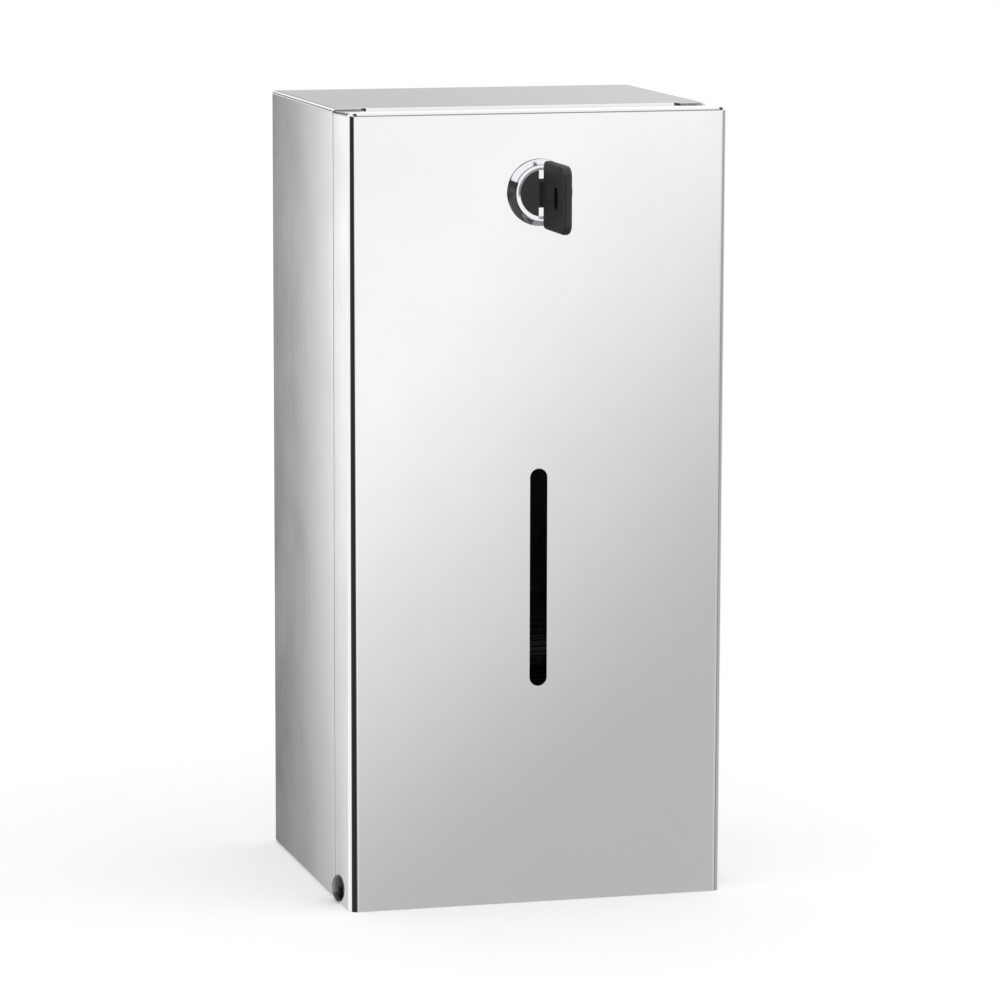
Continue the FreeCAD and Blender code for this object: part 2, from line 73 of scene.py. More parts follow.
def addNode(tree, kind, settings=None, links=None):
    # settings: input or attribute name to value, links: input name to the socket that feeds it
    node = tree.nodes.new(kind)
    for name, value in (settings or {}).items():
        if isinstance(name, int) or name in node.inputs:
            node.inputs[name].default_value = value
        else:
            setattr(node, name, value)
    for name, source in (links or {}).items():
        tree.links.new(source, node.inputs[name])
    return node


def newMaterial(name, metallic, extra=None):
    material = bpy.data.materials.new(name)
    material.use_nodes = True
    tree = material.node_tree
    tree.nodes.clear()
    shader = addNode(tree, "ShaderNodeBsdfPrincipled", {"Metallic": metallic, **(extra or {})})
    addNode(tree, "ShaderNodeOutputMaterial", {}, {"Surface": shader.outputs["BSDF"]})
    return material, tree, shader


def noise(tree, size, stretch=(1, 1, 1), detail=3.0, rough=0.5):
    # noise whose features are about size metres, longer along an axis by its stretch
    place = addNode(tree, "ShaderNodeTexCoord").outputs["Object"]
    scale = [1 / (size * s) for s in stretch]
    mapped = addNode(tree, "ShaderNodeMapping", {"Scale": scale}, {"Vector": place})
    made = addNode(tree, "ShaderNodeTexNoise", {"Scale": 1.0, "Detail": detail, "Roughness": rough},
                   {"Vector": mapped.outputs["Vector"]})
    return made.outputs["Fac"]


def ranged(tree, source, low, high, start=0.3, end=0.7):
    made = addNode(tree, "ShaderNodeMapRange",
                   {"From Min": start, "From Max": end, "To Min": low, "To Max": high}, {"Value": source})
    return made.outputs["Result"]


def mixed(tree, factor, first, second):
    made = addNode(tree, "ShaderNodeMix", {"data_type": "RGBA", 6: linear(first), 7: linear(second)},
                   {0: factor})
    return made.outputs[2]


def bumped(tree, shader, height, depth, under=None):
    made = addNode(tree, "ShaderNodeBump", {"Strength": 1.0, "Distance": depth}, {"Height": height})
    if under:
        tree.links.new(under, made.inputs["Normal"])
    tree.links.new(made.outputs["Normal"], shader.inputs["Normal"])
    return made.outputs["Normal"]


def makeFinish(name, facts):
    # one finish: two colours in soft patches, a roughness range, and a fine relief with its own stretch
    material, tree, shader = newMaterial(name, facts["metallic"], facts.get("extra"))
    patches = noise(tree, facts["patchSize"], detail=4)
    tree.links.new(mixed(tree, patches, *facts["colours"]), shader.inputs["Base Color"])
    grain = noise(tree, facts["grainSize"], facts["grainStretch"], detail=2)
    blend = addNode(tree, "ShaderNodeMix", {"data_type": "FLOAT", 0: facts["grainShare"]},
                    {2: patches, 3: grain})
    tree.links.new(ranged(tree, blend.outputs[0], *facts["roughness"]), shader.inputs["Roughness"])
    under = None
    if facts.get("waveHeight"):
        under = bumped(tree, shader, noise(tree, facts["waveSize"], detail=0), facts["waveHeight"])
    bumped(tree, shader, grain, facts["grainHeight"], under)
    return material


# Polished sheet: annealed stainless, buffed to a mirror. It gives sharp reflections with a faint
# haze in patches and upright buffing lines, and the thin sheet is never quite flat.
polishedSheet = {
    "metallic": 1.0, "colours": ("#E4E4E4", "#DEDFDF"), "roughness": (0.03, 0.075), "patchSize": 38 * mm,
    "grainSize": 0.5 * mm, "grainStretch": (1, 1, 260), "grainShare": 0.45, "grainHeight": 0.00004 * mm,
    "waveSize": 75 * mm, "waveHeight": 0.004 * mm,
}
# Satin sheet: stainless with a 240 grit belt finish. Short upright scratches spread the highlight sideways.
satinSheet = {
    "metallic": 1.0, "colours": ("#C2C1BF", "#B1B0AE"), "roughness": (0.24, 0.40), "patchSize": 25 * mm,
    "grainSize": 0.16 * mm, "grainStretch": (1, 1, 70), "grainShare": 0.75, "grainHeight": 0.0012 * mm,
}
# Zinc plate: barrel-plated steel, clear passivated. Milky bright, with bluish and straw patches.
zincPlate = {
    "metallic": 1.0, "colours": ("#C3C9D2", "#D0CBBB"), "roughness": (0.26, 0.44), "patchSize": 5 * mm,
    "grainSize": 0.25 * mm, "grainStretch": (1, 1, 1), "grainShare": 0.5, "grainHeight": 0.002 * mm,
}
# Chrome plate on a zinc die casting: mirror bright, cool, with the casting's softness showing through.
chromePlate = {
    "metallic": 1.0, "colours": ("#E4E6E8", "#DBDEE1"), "roughness": (0.04, 0.11), "patchSize": 4 * mm,
    "grainSize": 0.3 * mm, "grainStretch": (1, 1, 1), "grainShare": 0.4, "grainHeight": 0.0002 * mm,
}
# Black enamel on the pivot rivets: stoved gloss paint. Nearly black, with a sharp light arc on the dome.
blackEnamel = {
    "metallic": 0.0, "colours": ("#1A1A1B", "#121213"), "roughness": (0.10, 0.18), "patchSize": 4 * mm,
    "grainSize": 0.5 * mm, "grainStretch": (1, 1, 1), "grainShare": 0.5, "grainHeight": 0.0015 * mm,
    "extra": {"IOR": 1.52},
}
# Ground bar: centreless-ground steel. Fine rings round the axle, so light runs along it in a line.
groundBar = {
    "metallic": 1.0, "colours": ("#C4C3C1", "#B4B3B2"), "roughness": (0.20, 0.34), "patchSize": 12 * mm,
    "grainSize": 0.12 * mm, "grainStretch": (1, 60, 60), "grainShare": 0.8, "grainHeight": 0.0012 * mm,
}
# Stamped brass: yellow metal with dull tumbled faces.
stampedBrass = {
    "metallic": 1.0, "colours": ("#D9B766", "#C09A4C"), "roughness": (0.26, 0.42), "patchSize": 3 * mm,
    "grainSize": 0.2 * mm, "grainStretch": (1, 1, 1), "grainShare": 0.5, "grainHeight": 0.001 * mm,
}
# Nickel-plated blade: warm grey metal, with milling marks across it.
nickelBlade = {
    "metallic": 1.0, "colours": ("#D6D2CA", "#C6C1B7"), "roughness": (0.18, 0.32), "patchSize": 4 * mm,
    "grainSize": 0.14 * mm, "grainStretch": (20, 1, 20), "grainShare": 0.7, "grainHeight": 0.001 * mm,
}
# Black ABS key grip: moulded, fine spark-eroded texture, so it is a soft dark grey in the light.
blackGrip = {
    "metallic": 0.0, "colours": ("#262627", "#1F1F20"), "roughness": (0.42, 0.54), "patchSize": 6 * mm,
    "grainSize": 0.22 * mm, "grainStretch": (1, 1, 1), "grainShare": 0.5, "grainHeight": 0.006 * mm,
    "extra": {"IOR": 1.53},
}
# Walls of the key's ring slot: painted shade, nearly black and dull with little shine, so the slot looks
# deeper.
slotShadeWalls = {
    "metallic": 0.0, "colours": ("#0A0A0A", "#060606"), "roughness": (0.75, 0.9), "patchSize": 2 * mm,
    "grainSize": 0.2 * mm, "grainStretch": (1, 1, 1), "grainShare": 0.5, "grainHeight": 0.004 * mm,
    "extra": {"IOR": 1.53, "Specular IOR Level": 0.1},
}
# Black lacquered disc in the lock: thin matt paint on a stamped plate.
blackDisc = {
    "metallic": 0.0, "colours": ("#252526", "#1E1E1F"), "roughness": (0.38, 0.50), "patchSize": 3 * mm,
    "grainSize": 0.15 * mm, "grainStretch": (1, 1, 1), "grainShare": 0.5, "grainHeight": 0.003 * mm,
    "extra": {"IOR": 1.5},
}
# Black roller: extruded polypropylene, waxy, with faint draw lines along the tube.
rollerPlastic = {
    "metallic": 0.0, "colours": ("#262627", "#1D1D1E"), "roughness": (0.36, 0.50), "patchSize": 15 * mm,
    "grainSize": 0.3 * mm, "grainStretch": (50, 1, 1), "grainShare": 0.6, "grainHeight": 0.006 * mm,
    "extra": {"IOR": 1.49},
}
# Black acetal: moulded bearings and caps, slippery and a little glossier than the roller.
blackAcetal = {
    "metallic": 0.0, "colours": ("#1F1F20", "#18181A"), "roughness": (0.28, 0.40), "patchSize": 6 * mm,
    "grainSize": 0.3 * mm, "grainStretch": (1, 1, 1), "grainShare": 0.5, "grainHeight": 0.004 * mm,
    "extra": {"IOR": 1.48},
}
# Natural nylon: punched washer, ivory and slightly see-through.
naturalNylon = {
    "metallic": 0.0, "colours": ("#E9E5D9", "#DDD8C8"), "roughness": (0.40, 0.52), "patchSize": 4 * mm,
    "grainSize": 0.3 * mm, "grainStretch": (1, 1, 1), "grainShare": 0.5, "grainHeight": 0.003 * mm,
    "extra": {"IOR": 1.53, "Subsurface Weight": 0.2, "Subsurface Scale": 0.5 * mm},
}

finishes = {
    "polished_steel": makeFinish("polishedStainless", polishedSheet),
    "satin_steel": makeFinish("satinStainless", satinSheet),
    "zinc_plated_steel": makeFinish("zincPlatedSteel", zincPlate),
    "chrome_plate": makeFinish("chromePlatedZinc", chromePlate),
    "black_enamel": makeFinish("blackEnamelOnSteel", blackEnamel),
    "axle_steel": makeFinish("groundSteel", groundBar),
    "brass_wafer": makeFinish("stampedBrass", stampedBrass),
    "nickel_blade": makeFinish("nickelPlatedBrass", nickelBlade),
    "black_plastic": makeFinish("mouldedBlackAbs", blackGrip),
    "roller_plastic": makeFinish("extrudedPolypropylene", rollerPlastic),
    "bush_plastic": makeFinish("mouldedAcetal", blackAcetal),
    "washer_nylon": makeFinish("naturalNylon", naturalNylon),
}
discFinish = makeFinish("blackLacqueredDisc", blackDisc)
slotShadeFinish = makeFinish("paintedShadeSlotWalls", slotShadeWalls)
slotOf = {row["node"]: row["material_slot"] for row in frame["record"]["subparts"]}
bodyOf = {node: body for body, held in frame["record"]["behaviour"]["bodies"].items() for node in held}
print("materials done")


def finished(mesh, node, name, sharpAngle=32.0, finish=None):
    # the piece that stands for a CAD node: it gets the node's body and the finish of the node's slot, and the
    # node is hidden
    mesh.name = name
    if sharpAngle:
        mesh.shade_smooth()
        mesh.set_sharp_from_angle(angle=math.radians(sharpAngle))
    mesh.materials.clear()
    mesh.materials.append(finish or finishes[slotOf[node]])
    piece = bpy.data.objects.new(name, mesh)
    scene.collection.objects.link(piece)
    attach(piece, bodyOf[node])
    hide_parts(node)
    return piece


def meshOf(build, name="made"):
    mesh = bpy.data.meshes.new(name)
    bmesh.ops.recalc_face_normals(build, faces=build.faces)
    build.to_mesh(mesh)
    build.free()
    return mesh


def evaluated(piece):
    # the mesh with the modifiers applied, and the helper object gone
    bpy.context.view_layer.update()
    shown = piece.evaluated_get(bpy.context.evaluated_depsgraph_get())
    mesh = bpy.data.meshes.new_from_object(shown)
    bpy.data.objects.remove(piece)
    return mesh


def helperObject(mesh):
    piece = bpy.data.objects.new("helper", mesh)
    scene.collection.objects.link(piece)
    return piece


def turned(profile, origin=(0, 0, 0), axis="Y", segments=96, closed=True, shape=None):
    # solid of revolution: profile is (radius, distance along the axis), shape may change a ring's radius
    build = bmesh.new()
    across, up = {"X": ((0, 1, 0), (0, 0, 1)), "Y": ((1, 0, 0), (0, 0, 1))}[axis]
    along = Vector((1, 0, 0)) if axis == "X" else Vector((0, 1, 0))
    across, up, origin = Vector(across), Vector(up), Vector(origin)
    rings = []
    for radius, distance in profile:
        if radius == 0:
            rings.append([build.verts.new(origin + along * distance)])
            continue
        ring = []
        for i in range(segments):
            angle = math.tau * i / segments
            a, b = radius * math.cos(angle), radius * math.sin(angle)
            if shape:
                a, b = shape(a, b, distance, angle)
            ring.append(build.verts.new(origin + along * distance + across * a + up * b))
        rings.append(ring)
    pairs = list(zip(rings, rings[1:])) + ([(rings[-1], rings[0])] if closed else [])
    for first, second in pairs:
        count = max(len(first), len(second))
        for i in range(count):
            corners = [first[i % len(first)], first[(i + 1) % len(first)],
                       second[(i + 1) % len(second)], second[i % len(second)]]
            corners = [c for n, c in enumerate(corners) if c not in corners[:n]]
            if len(corners) > 2:
                build.faces.new(corners)
    return meshOf(build)


def arc(centre, radius, start, end, steps):
    # points of a round corner in a profile, angles in degrees from the radius direction
    turns = [math.radians(start + (end - start) * i / steps) for i in range(steps + 1)]
    return [(centre[0] + radius * math.cos(t), centre[1] + radius * math.sin(t)) for t in turns]


def hexagon(flats):
    # shape that keeps a ring inside a hexagon with flats facing up and down
    def shape(a, b, distance, angle):
        radius = math.hypot(a, b)
        limit = flats / 2 / math.cos((angle % (math.pi / 3)) - math.pi / 6)
        scale = min(1, limit / radius)
        return a * scale, b * scale
    return shape


def threaded(pitch, depth, start, end):
    # shape that cuts a screw thread between two distances
    def shape(a, b, distance, angle):
        if start <= distance <= end:
            turn = (distance / pitch + angle / math.tau) % 1
            fade = min(1, (distance - start) / pitch, (end - distance) / pitch)
            scale = 1 - fade * depth * abs(2 * turn - 1) / math.hypot(a, b)
            a, b = a * scale, b * scale
        return a, b
    return shape


def threadRings(radius, start, end, pitch, perTurn=8):
    steps = round((end - start) / pitch * perTurn)
    return [(radius, start + (end - start) * i / steps) for i in range(steps + 1)]


def nutProfile(facts, low, high):
    # outline of a turned nut: chamfered bore, corners sloping away from both faces
    corner = facts["flats"] / 2 / math.cos(math.pi / 6)
    flat = facts["flats"] / 2 + facts["faceEdge"]
    steps, reach = facts["steps"], corner - flat
    slope = [(flat + reach * i / steps, facts["slope"] * reach * i / steps) for i in range(steps + 1)]
    bore, depth = facts["bore"], facts["boreDepth"]
    profile = [(bore, low + depth), (facts["boreEdge"], low)]
    profile += [(radius, low + rise) for radius, rise in slope]
    profile += [(radius, high - rise) for radius, rise in reversed(slope)]
    return profile + [(facts["boreEdge"], high), (bore, high - depth)]


def joined(meshes):
    build = bmesh.new()
    for mesh in meshes:
        build.from_mesh(mesh)
    result = bpy.data.meshes.new("joined")
    build.to_mesh(result)
    build.free()
    return result


def repeatTree():
    # copies of the incoming mesh in columns and rows, each turned a step further than the last
    tree = bpy.data.node_groups.new("repeatPiece", "GeometryNodeTree")
    face = tree.interface
    kinds = {"Geometry": "Geometry", "Count": "Int", "Columns": "Int", "Column Step": "Vector",
             "Row Step": "Vector", "Turn": "Vector", "Material": "Material"}
    for name, kind in kinds.items():
        face.new_socket(name, in_out="INPUT", socket_type="NodeSocket" + kind)
    face.new_socket("Geometry", in_out="OUTPUT", socket_type="NodeSocketGeometry")
    given = addNode(tree, "NodeGroupInput").outputs
    index = addNode(tree, "GeometryNodeInputIndex").outputs[0]

    def maths(kind, a, b):
        return addNode(tree, "ShaderNodeMath", {"operation": kind}, {0: a, 1: b}).outputs[0]

    def scaled(vector, factor):
        made = addNode(tree, "ShaderNodeVectorMath", {"operation": "SCALE"}, {0: vector, "Scale": factor})
        return made.outputs[0]

    column = maths("MODULO", index, given["Columns"])
    ratio = maths("DIVIDE", index, given["Columns"])
    row = addNode(tree, "ShaderNodeMath", {"operation": "FLOOR"}, {0: ratio}).outputs[0]
    place = addNode(tree, "ShaderNodeVectorMath", {"operation": "ADD"},
                    {0: scaled(given["Column Step"], column), 1: scaled(given["Row Step"], row)}).outputs[0]
    points = addNode(tree, "GeometryNodePoints", {}, {"Count": given["Count"], "Position": place})
    copies = addNode(tree, "GeometryNodeInstanceOnPoints", {}, {
        "Points": points.outputs[0], "Instance": given["Geometry"], "Rotation": scaled(given["Turn"], index)})
    real = addNode(tree, "GeometryNodeRealizeInstances", {}, {0: copies.outputs[0]})
    painted = addNode(tree, "GeometryNodeSetMaterial", {},
                      {"Geometry": real.outputs[0], "Material": given["Material"]})
    addNode(tree, "NodeGroupOutput", {}, {0: painted.outputs[0]})
    return tree


repeatPiece = repeatTree()


def repeated(mesh, facts, finish, move=(0, 0, 0)):
    # facts: the tree's inputs by name. The result is a plain mesh, moved to its place.
    piece = helperObject(mesh)
    modifier = piece.modifiers.new("repeat", "NODES")
    modifier.node_group = repeatPiece
    values = {"Columns": facts["Count"], "Column Step": (0, 0, 0), "Row Step": (0, 0, 0), "Turn": (0, 0, 0),
              "Material": finish, **facts}
    for item in repeatPiece.interface.items_tree:
        if item.in_out == "INPUT" and item.name in values:
            modifier[item.identifier] = values[item.name]
    result = evaluated(piece)
    result.transform(Matrix.Translation(move))
    return result


def merged(node):
    # copy of a CAD mesh with its loose triangles joined and its flat faces made whole
    build = bmesh.new()
    build.from_mesh(nodes[node].data)
    bmesh.ops.remove_doubles(build, verts=build.verts, dist=0.002 * mm)
    bmesh.ops.dissolve_limit(build, angle_limit=math.radians(0.4), verts=build.verts, edges=build.edges,
                             delimit=set())
    mesh = bpy.data.meshes.new(node + "Copy")
    build.to_mesh(mesh)
    build.free()
    return mesh


def softened(mesh, width, segments=2, angle=34.0):
    # small rounded edges, as every cut or moulded edge has, with flat faces kept flat
    mesh.shade_smooth()
    piece = helperObject(mesh)
    bevel = piece.modifiers.new("edges", "BEVEL")
    bevel.width = width
    bevel.segments = segments
    bevel.limit_method = "ANGLE"
    bevel.angle_limit = math.radians(angle)
    bevel.use_clamp_overlap = True
    weighted = piece.modifiers.new("flats", "WEIGHTED_NORMAL")
    weighted.weight = 80
    return evaluated(piece)


# Places, read from the frame
boxOf = {node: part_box(node) for node in nodes}
lockHeight = (boxOf["lock_housing"][0].z + boxOf["lock_housing"][1].z) / 2
doorFront = boxOf["door_panel"][0].y
lockBack = boxOf["lock_housing"][1].y
lockCentre = Vector((0, 0, lockHeight))
sidePair = {"Count": 2, "Turn": (0, 0, math.pi)}  # a piece on the right and its twin on the left


foldedSheet = {
    "cabinetEdge": 0.28 * mm,  # deburred edges of the sheet
    "doorEdge": 0.16 * mm,
    "carrierEdge": 0.18 * mm,
    "flangeDrop": 0.62 * mm,  # the door's top flange springs down towards the back
    "flangeReach": 1.2 * mm,  # how far below the door's top that flange's sheet lies
    "foldRadius": 1.2 * mm,
    "uprightRadius": 2.4 * mm,  # of the door's upright folds
    "foldEase": 1.0 * mm,  # how much wider the bender leaves them at the lower end
    "easeReach": 3.0 * mm,  # flat sheet that takes up the wider fold
}


def easedFolds(mesh, facts):
    # widens the door's upright folds at their lower end; at the top the corner reliefs hold them
    low, high = boxOf["door_panel"]
    radius, ease, reach = facts["uprightRadius"], facts["foldEase"], facts["easeReach"]
    for vertex in mesh.vertices:
        x, y = abs(vertex.co.x) - (high.x - radius), vertex.co.y - (low.y + radius)
        if vertex.co.z > low.z + reach or x < -reach or y > reach:
            continue
        if x > 0 and y < 0:
            scale = ease / math.hypot(x, y)
            moveX, moveY = x * scale - ease, y * scale + ease
        else:
            moveX = -ease * (1 + x / reach) if y < 0 else 0.0
            moveY = ease * (1 - y / reach) if x > 0 else 0.0
        vertex.co.x += moveX * math.copysign(1, vertex.co.x)
        vertex.co.y += moveY


def makeDoor(facts):
    mesh = merged("door_panel")
    low, high = boxOf["door_panel"]
    start = low.y + facts["foldRadius"]
    for vertex in mesh.vertices:
        if vertex.co.z > high.z - facts["flangeReach"] and vertex.co.y > start:
            vertex.co.z -= facts["flangeDrop"] * (vertex.co.y - start) / (high.y - start)
    easedFolds(mesh, facts)
    finished(softened(mesh, facts["doorEdge"]), "door_panel", "doorSheet", None)


def makeSheets(facts):
    finished(softened(merged("cabinet_shell"), facts["cabinetEdge"]), "cabinet_shell", "cabinetSheet", None)
    finished(softened(merged("roll_carrier"), facts["carrierEdge"]), "roll_carrier", "rollCarrier", None)


makeDoor(foldedSheet)
makeSheets(foldedSheet)
print("sheet metal done")


hingePivot = {
    "headRadius": 5.0 * mm,
    "headHeight": 2.0 * mm,
    "rimShare": 0.985,  # the head's flat underside against its radius
    "domeSteps": 14,
    "domeStart": 0.06,  # share of the quarter turn that the dome leaves out at its rim
    "tailHeight": 1.3 * mm,
    "tailRadius": 4.0 * mm,
    "tailEnd": 0.8,  # the upset tail's end face against its radius
    "tailShoulder": 0.6,  # where that taper begins, against its height
    "gripLength": 2.7 * mm,  # from the washer's outer face to the tail
    "shankRadius": 2.5 * mm,
    "washerRadius": 4.6 * mm,
    "washerThickness": 0.7 * mm,
    "washerEdge": 0.12 * mm,
}


def makeHinge(facts):
    low, high = boxOf["hinge_rivets"]
    place = (0, (low.y + high.y) / 2, (low.z + high.z) / 2)
    base = high.x - facts["headHeight"]
    washer = boxOf["hinge_washers"][1].x
    tail = washer - facts["gripLength"]
    radius, height = facts["tailRadius"], facts["tailHeight"]
    profile = [(0, tail - height), (radius * facts["tailEnd"], tail - height),
               (radius, tail - height * facts["tailShoulder"]), (radius, tail),
               (facts["shankRadius"], tail), (facts["shankRadius"], base),
               (facts["headRadius"] * facts["rimShare"], base)]
    left = facts["domeStart"]
    for i in range(facts["domeSteps"] + 1):
        turn = math.pi / 2 * (left + (1 - left) * i / facts["domeSteps"])
        radius = 0 if i == facts["domeSteps"] else facts["headRadius"] * math.cos(turn)
        profile.append((radius, base + facts["headHeight"] * math.sin(turn)))
    rivet = turned(profile, axis="X", segments=64, closed=False)
    finished(repeated(rivet, sidePair, finishes["black_enamel"], place), "hinge_rivets", "pivotRivets")
    edge = facts["washerEdge"]
    inner = washer - facts["washerThickness"]
    hole, rim = facts["shankRadius"], facts["washerRadius"]
    ring = turned([(hole, inner), (rim - edge, inner), (rim, inner + edge), (rim, washer - edge),
                   (rim - edge, washer), (hole, washer)], axis="X", segments=48)
    finished(repeated(ring, sidePair, finishes["washer_nylon"], place), "hinge_washers", "pivotWashers")


makeHinge(hingePivot)
print("hinge done")


camLock = {
    "rimRadius": 12.1 * mm,
    "rimHeight": 0.5 * mm,
    "slopeRadius": 12.0 * mm,
    "slopeHeight": 1.0 * mm,
    "faceRadius": 10.25 * mm,
    "faceHeight": 2.8 * mm,
    "faceDrop": 0.05 * mm,  # the face falls away this much to its outer edge
    "seatRadius": 10.18 * mm,
    "seatDepth": 1.6 * mm,
    "seatEdge": (0.03 * mm, 0.02 * mm),  # chamfer of the seat's mouth, outwards and along the axis
    "boreRadius": 7.58 * mm,
    "barrelRadius": 9.5 * mm,
    "barrelFlats": 16.0 * mm,
    "barrelChamfer": 0.5 * mm,
    "pitch": 1.0 * mm,
    "threadDepth": 0.55 * mm,
    "threadStart": 1.0 * mm,  # plain barrel before the thread, and after it
    "threadEnd": 0.3 * mm,
    "slack": 0.1 * mm,  # tells the barrel's rings from the bore and the head
    "plugEdge": 0.10 * mm,
    "ringEdge": 10.06 * mm,  # bright ring on the collar: small bevel, flat, slope down to the disc
    "ringFlat": (9.92 * mm, 9.28 * mm),
    "ringInside": 8.42 * mm,
    "ringDepth": 0.28 * mm,
    "ringOverlap": 0.05 * mm,  # how far the ring sinks into the collar
    "ringAngle": 10,  # its edges stay sharp above this many degrees
    "discEdge": 0.12 * mm,
}
lockNut = {"flats": 22.0 * mm, "bore": 9.55 * mm, "boreEdge": 9.9 * mm, "boreDepth": 0.35 * mm,
           "faceEdge": 0.2 * mm, "slope": 0.55, "steps": 5}
toothedWasher = {
    "bore": 9.55 * mm,
    "flats": 16.1 * mm,  # its hole fits the barrel's flats
    "flatsReach": 10.0 * mm,  # rings inside this radius belong to the hole
    "halfThickness": 0.38 * mm,
    "rootRadius": 11.0 * mm,
    "tipRadius": 12.45 * mm,
    "teeth": 20,
    "toothHalfWidth": 0.85 * mm,
    "toothSink": 0.3 * mm,  # how far a tooth reaches into the ring
    "toothTwist": 0.25 * mm,
    "rootShare": 0.95,  # a tooth's thickness against the ring's, at its root and tip
    "tipShare": 0.6,
}
lockTail = {"tongueEdge": 0.25 * mm, "screwEdge": 0.12 * mm, "washerBore": 2.5 * mm,
            "washerRadius": 6.0 * mm, "washerEdge": 0.15 * mm}


def makeLockHousing(facts):
    face = doorFront - facts["faceHeight"]
    bore, seat, barrel = facts["boreRadius"], facts["seatRadius"], facts["barrelRadius"]
    out, down = facts["seatEdge"]
    start, end = doorFront + facts["threadStart"], lockBack - facts["threadEnd"]
    profile = [(bore, lockBack), (bore, face + facts["seatDepth"]), (seat, face + facts["seatDepth"]),
               (seat, face + down), (seat + out, face), (facts["faceRadius"], face + facts["faceDrop"]),
               (facts["slopeRadius"], doorFront - facts["slopeHeight"]),
               (facts["rimRadius"], doorFront - facts["rimHeight"]), (facts["rimRadius"], doorFront),
               (barrel, doorFront)]
    profile += threadRings(barrel, start, end, facts["pitch"])
    profile += [(barrel - facts["barrelChamfer"], lockBack)]
    cut = threaded(facts["pitch"], facts["threadDepth"], start, end)
    half, slack = facts["barrelFlats"] / 2, facts["slack"]

    def shape(a, b, distance, angle):
        if distance >= doorFront and bore + slack < math.hypot(a, b) < barrel + slack:
            a, b = cut(a, b, distance, angle)
            a = max(-half, min(half, a))
        return a, b

    mesh = turned(profile, lockCentre, segments=128, shape=shape)
    finished(mesh, "lock_housing", "lockHousing")


def makeLockCore(facts):
    plug = merged("lock_plug")
    front = boxOf["lock_plug"][0].y
    low = front + facts["ringDepth"]
    for vertex in plug.vertices:
        if vertex.co.y < front + facts["ringOverlap"]:
            vertex.co.y = low
    edge, inside = facts["ringEdge"], facts["ringInside"]
    outer, inner = facts["ringFlat"]
    sunk = low + facts["ringOverlap"]
    ring = turned([(inside, sunk), (inside, low), (inner, front), (outer, front),
                   (edge, front + edge - outer), (edge, sunk)], lockCentre)
    ring.shade_smooth()
    ring.set_sharp_from_angle(angle=math.radians(facts["ringAngle"]))
    finished(joined([softened(plug, facts["plugEdge"]), ring]), "lock_plug", "lockPlug", None)
    disc = softened(merged("plug_face"), facts["discEdge"])
    finished(disc, "plug_face", "plugDisc", None, discFinish)


def makeLockNut(facts):
    low, high = boxOf["lock_nut"]
    mesh = turned(nutProfile(facts, low.y, high.y), lockCentre, segments=144, shape=hexagon(facts["flats"]))
    finished(mesh, "lock_nut", "lockNut", 22.0)


def makeLockWasher(facts):
    low, high = boxOf["lock_washer"]
    middle = (low.y + high.y) / 2
    half, bore, root = facts["halfThickness"], facts["bore"], facts["rootRadius"]

    def shape(a, b, distance, angle):
        limit = facts["flats"] / 2
        if math.hypot(a, b) < facts["flatsReach"]:
            a = max(-limit, min(limit, a))
        return a, b

    ring = turned([(bore, middle - half), (root, middle - half), (root, middle + half),
                   (bore, middle + half)], lockCentre, segments=120, shape=shape)
    build = bmesh.new()
    ends = ((root - facts["toothSink"], 0.0, facts["rootShare"]),
            (facts["tipRadius"], facts["toothTwist"], facts["tipShare"]))
    corners = []
    for radius, lean, share in ends:
        for side in (-1, 1):
            for face in (-1, 1):
                along = face * half * share + side * lean
                corners.append(build.verts.new((radius, along, side * facts["toothHalfWidth"])))
    for quad in ((0, 1, 3, 2), (4, 6, 7, 5), (0, 4, 5, 1), (2, 3, 7, 6), (0, 2, 6, 4), (1, 5, 7, 3)):
        build.faces.new([corners[i] for i in quad])
    tooth = meshOf(build)
    around = {"Count": facts["teeth"], "Turn": (0, math.tau / facts["teeth"], 0)}
    teeth = repeated(tooth, around, finishes["zinc_plated_steel"], (0, middle, lockHeight))
    finished(joined([ring, teeth]), "lock_washer", "lockToothWasher")


def makeTongue(facts):
    finished(softened(merged("lock_tongue"), facts["tongueEdge"]), "lock_tongue", "lockTongue", None)
    finished(softened(merged("tongue_screw"), facts["screwEdge"]), "tongue_screw", "tongueScrew", None)
    low, high = boxOf["tongue_washer"]
    bore, rim, edge = facts["washerBore"], facts["washerRadius"], facts["washerEdge"]
    ring = turned([(bore, low.y), (rim - edge, low.y), (rim, low.y + edge), (rim, high.y - edge),
                   (rim - edge, high.y), (bore, high.y)], lockCentre, segments=64)
    finished(ring, "tongue_washer", "tongueWasher")


wafers = {"Count": 5, "pitch": 3.0 * mm, "thickness": 0.9 * mm, "width": 6.0 * mm, "height": 12.0 * mm,
          "window": (2.3 * mm, 7.3 * mm), "corner": 1.4 * mm, "windowCorner": 0.2 * mm, "points": 48}


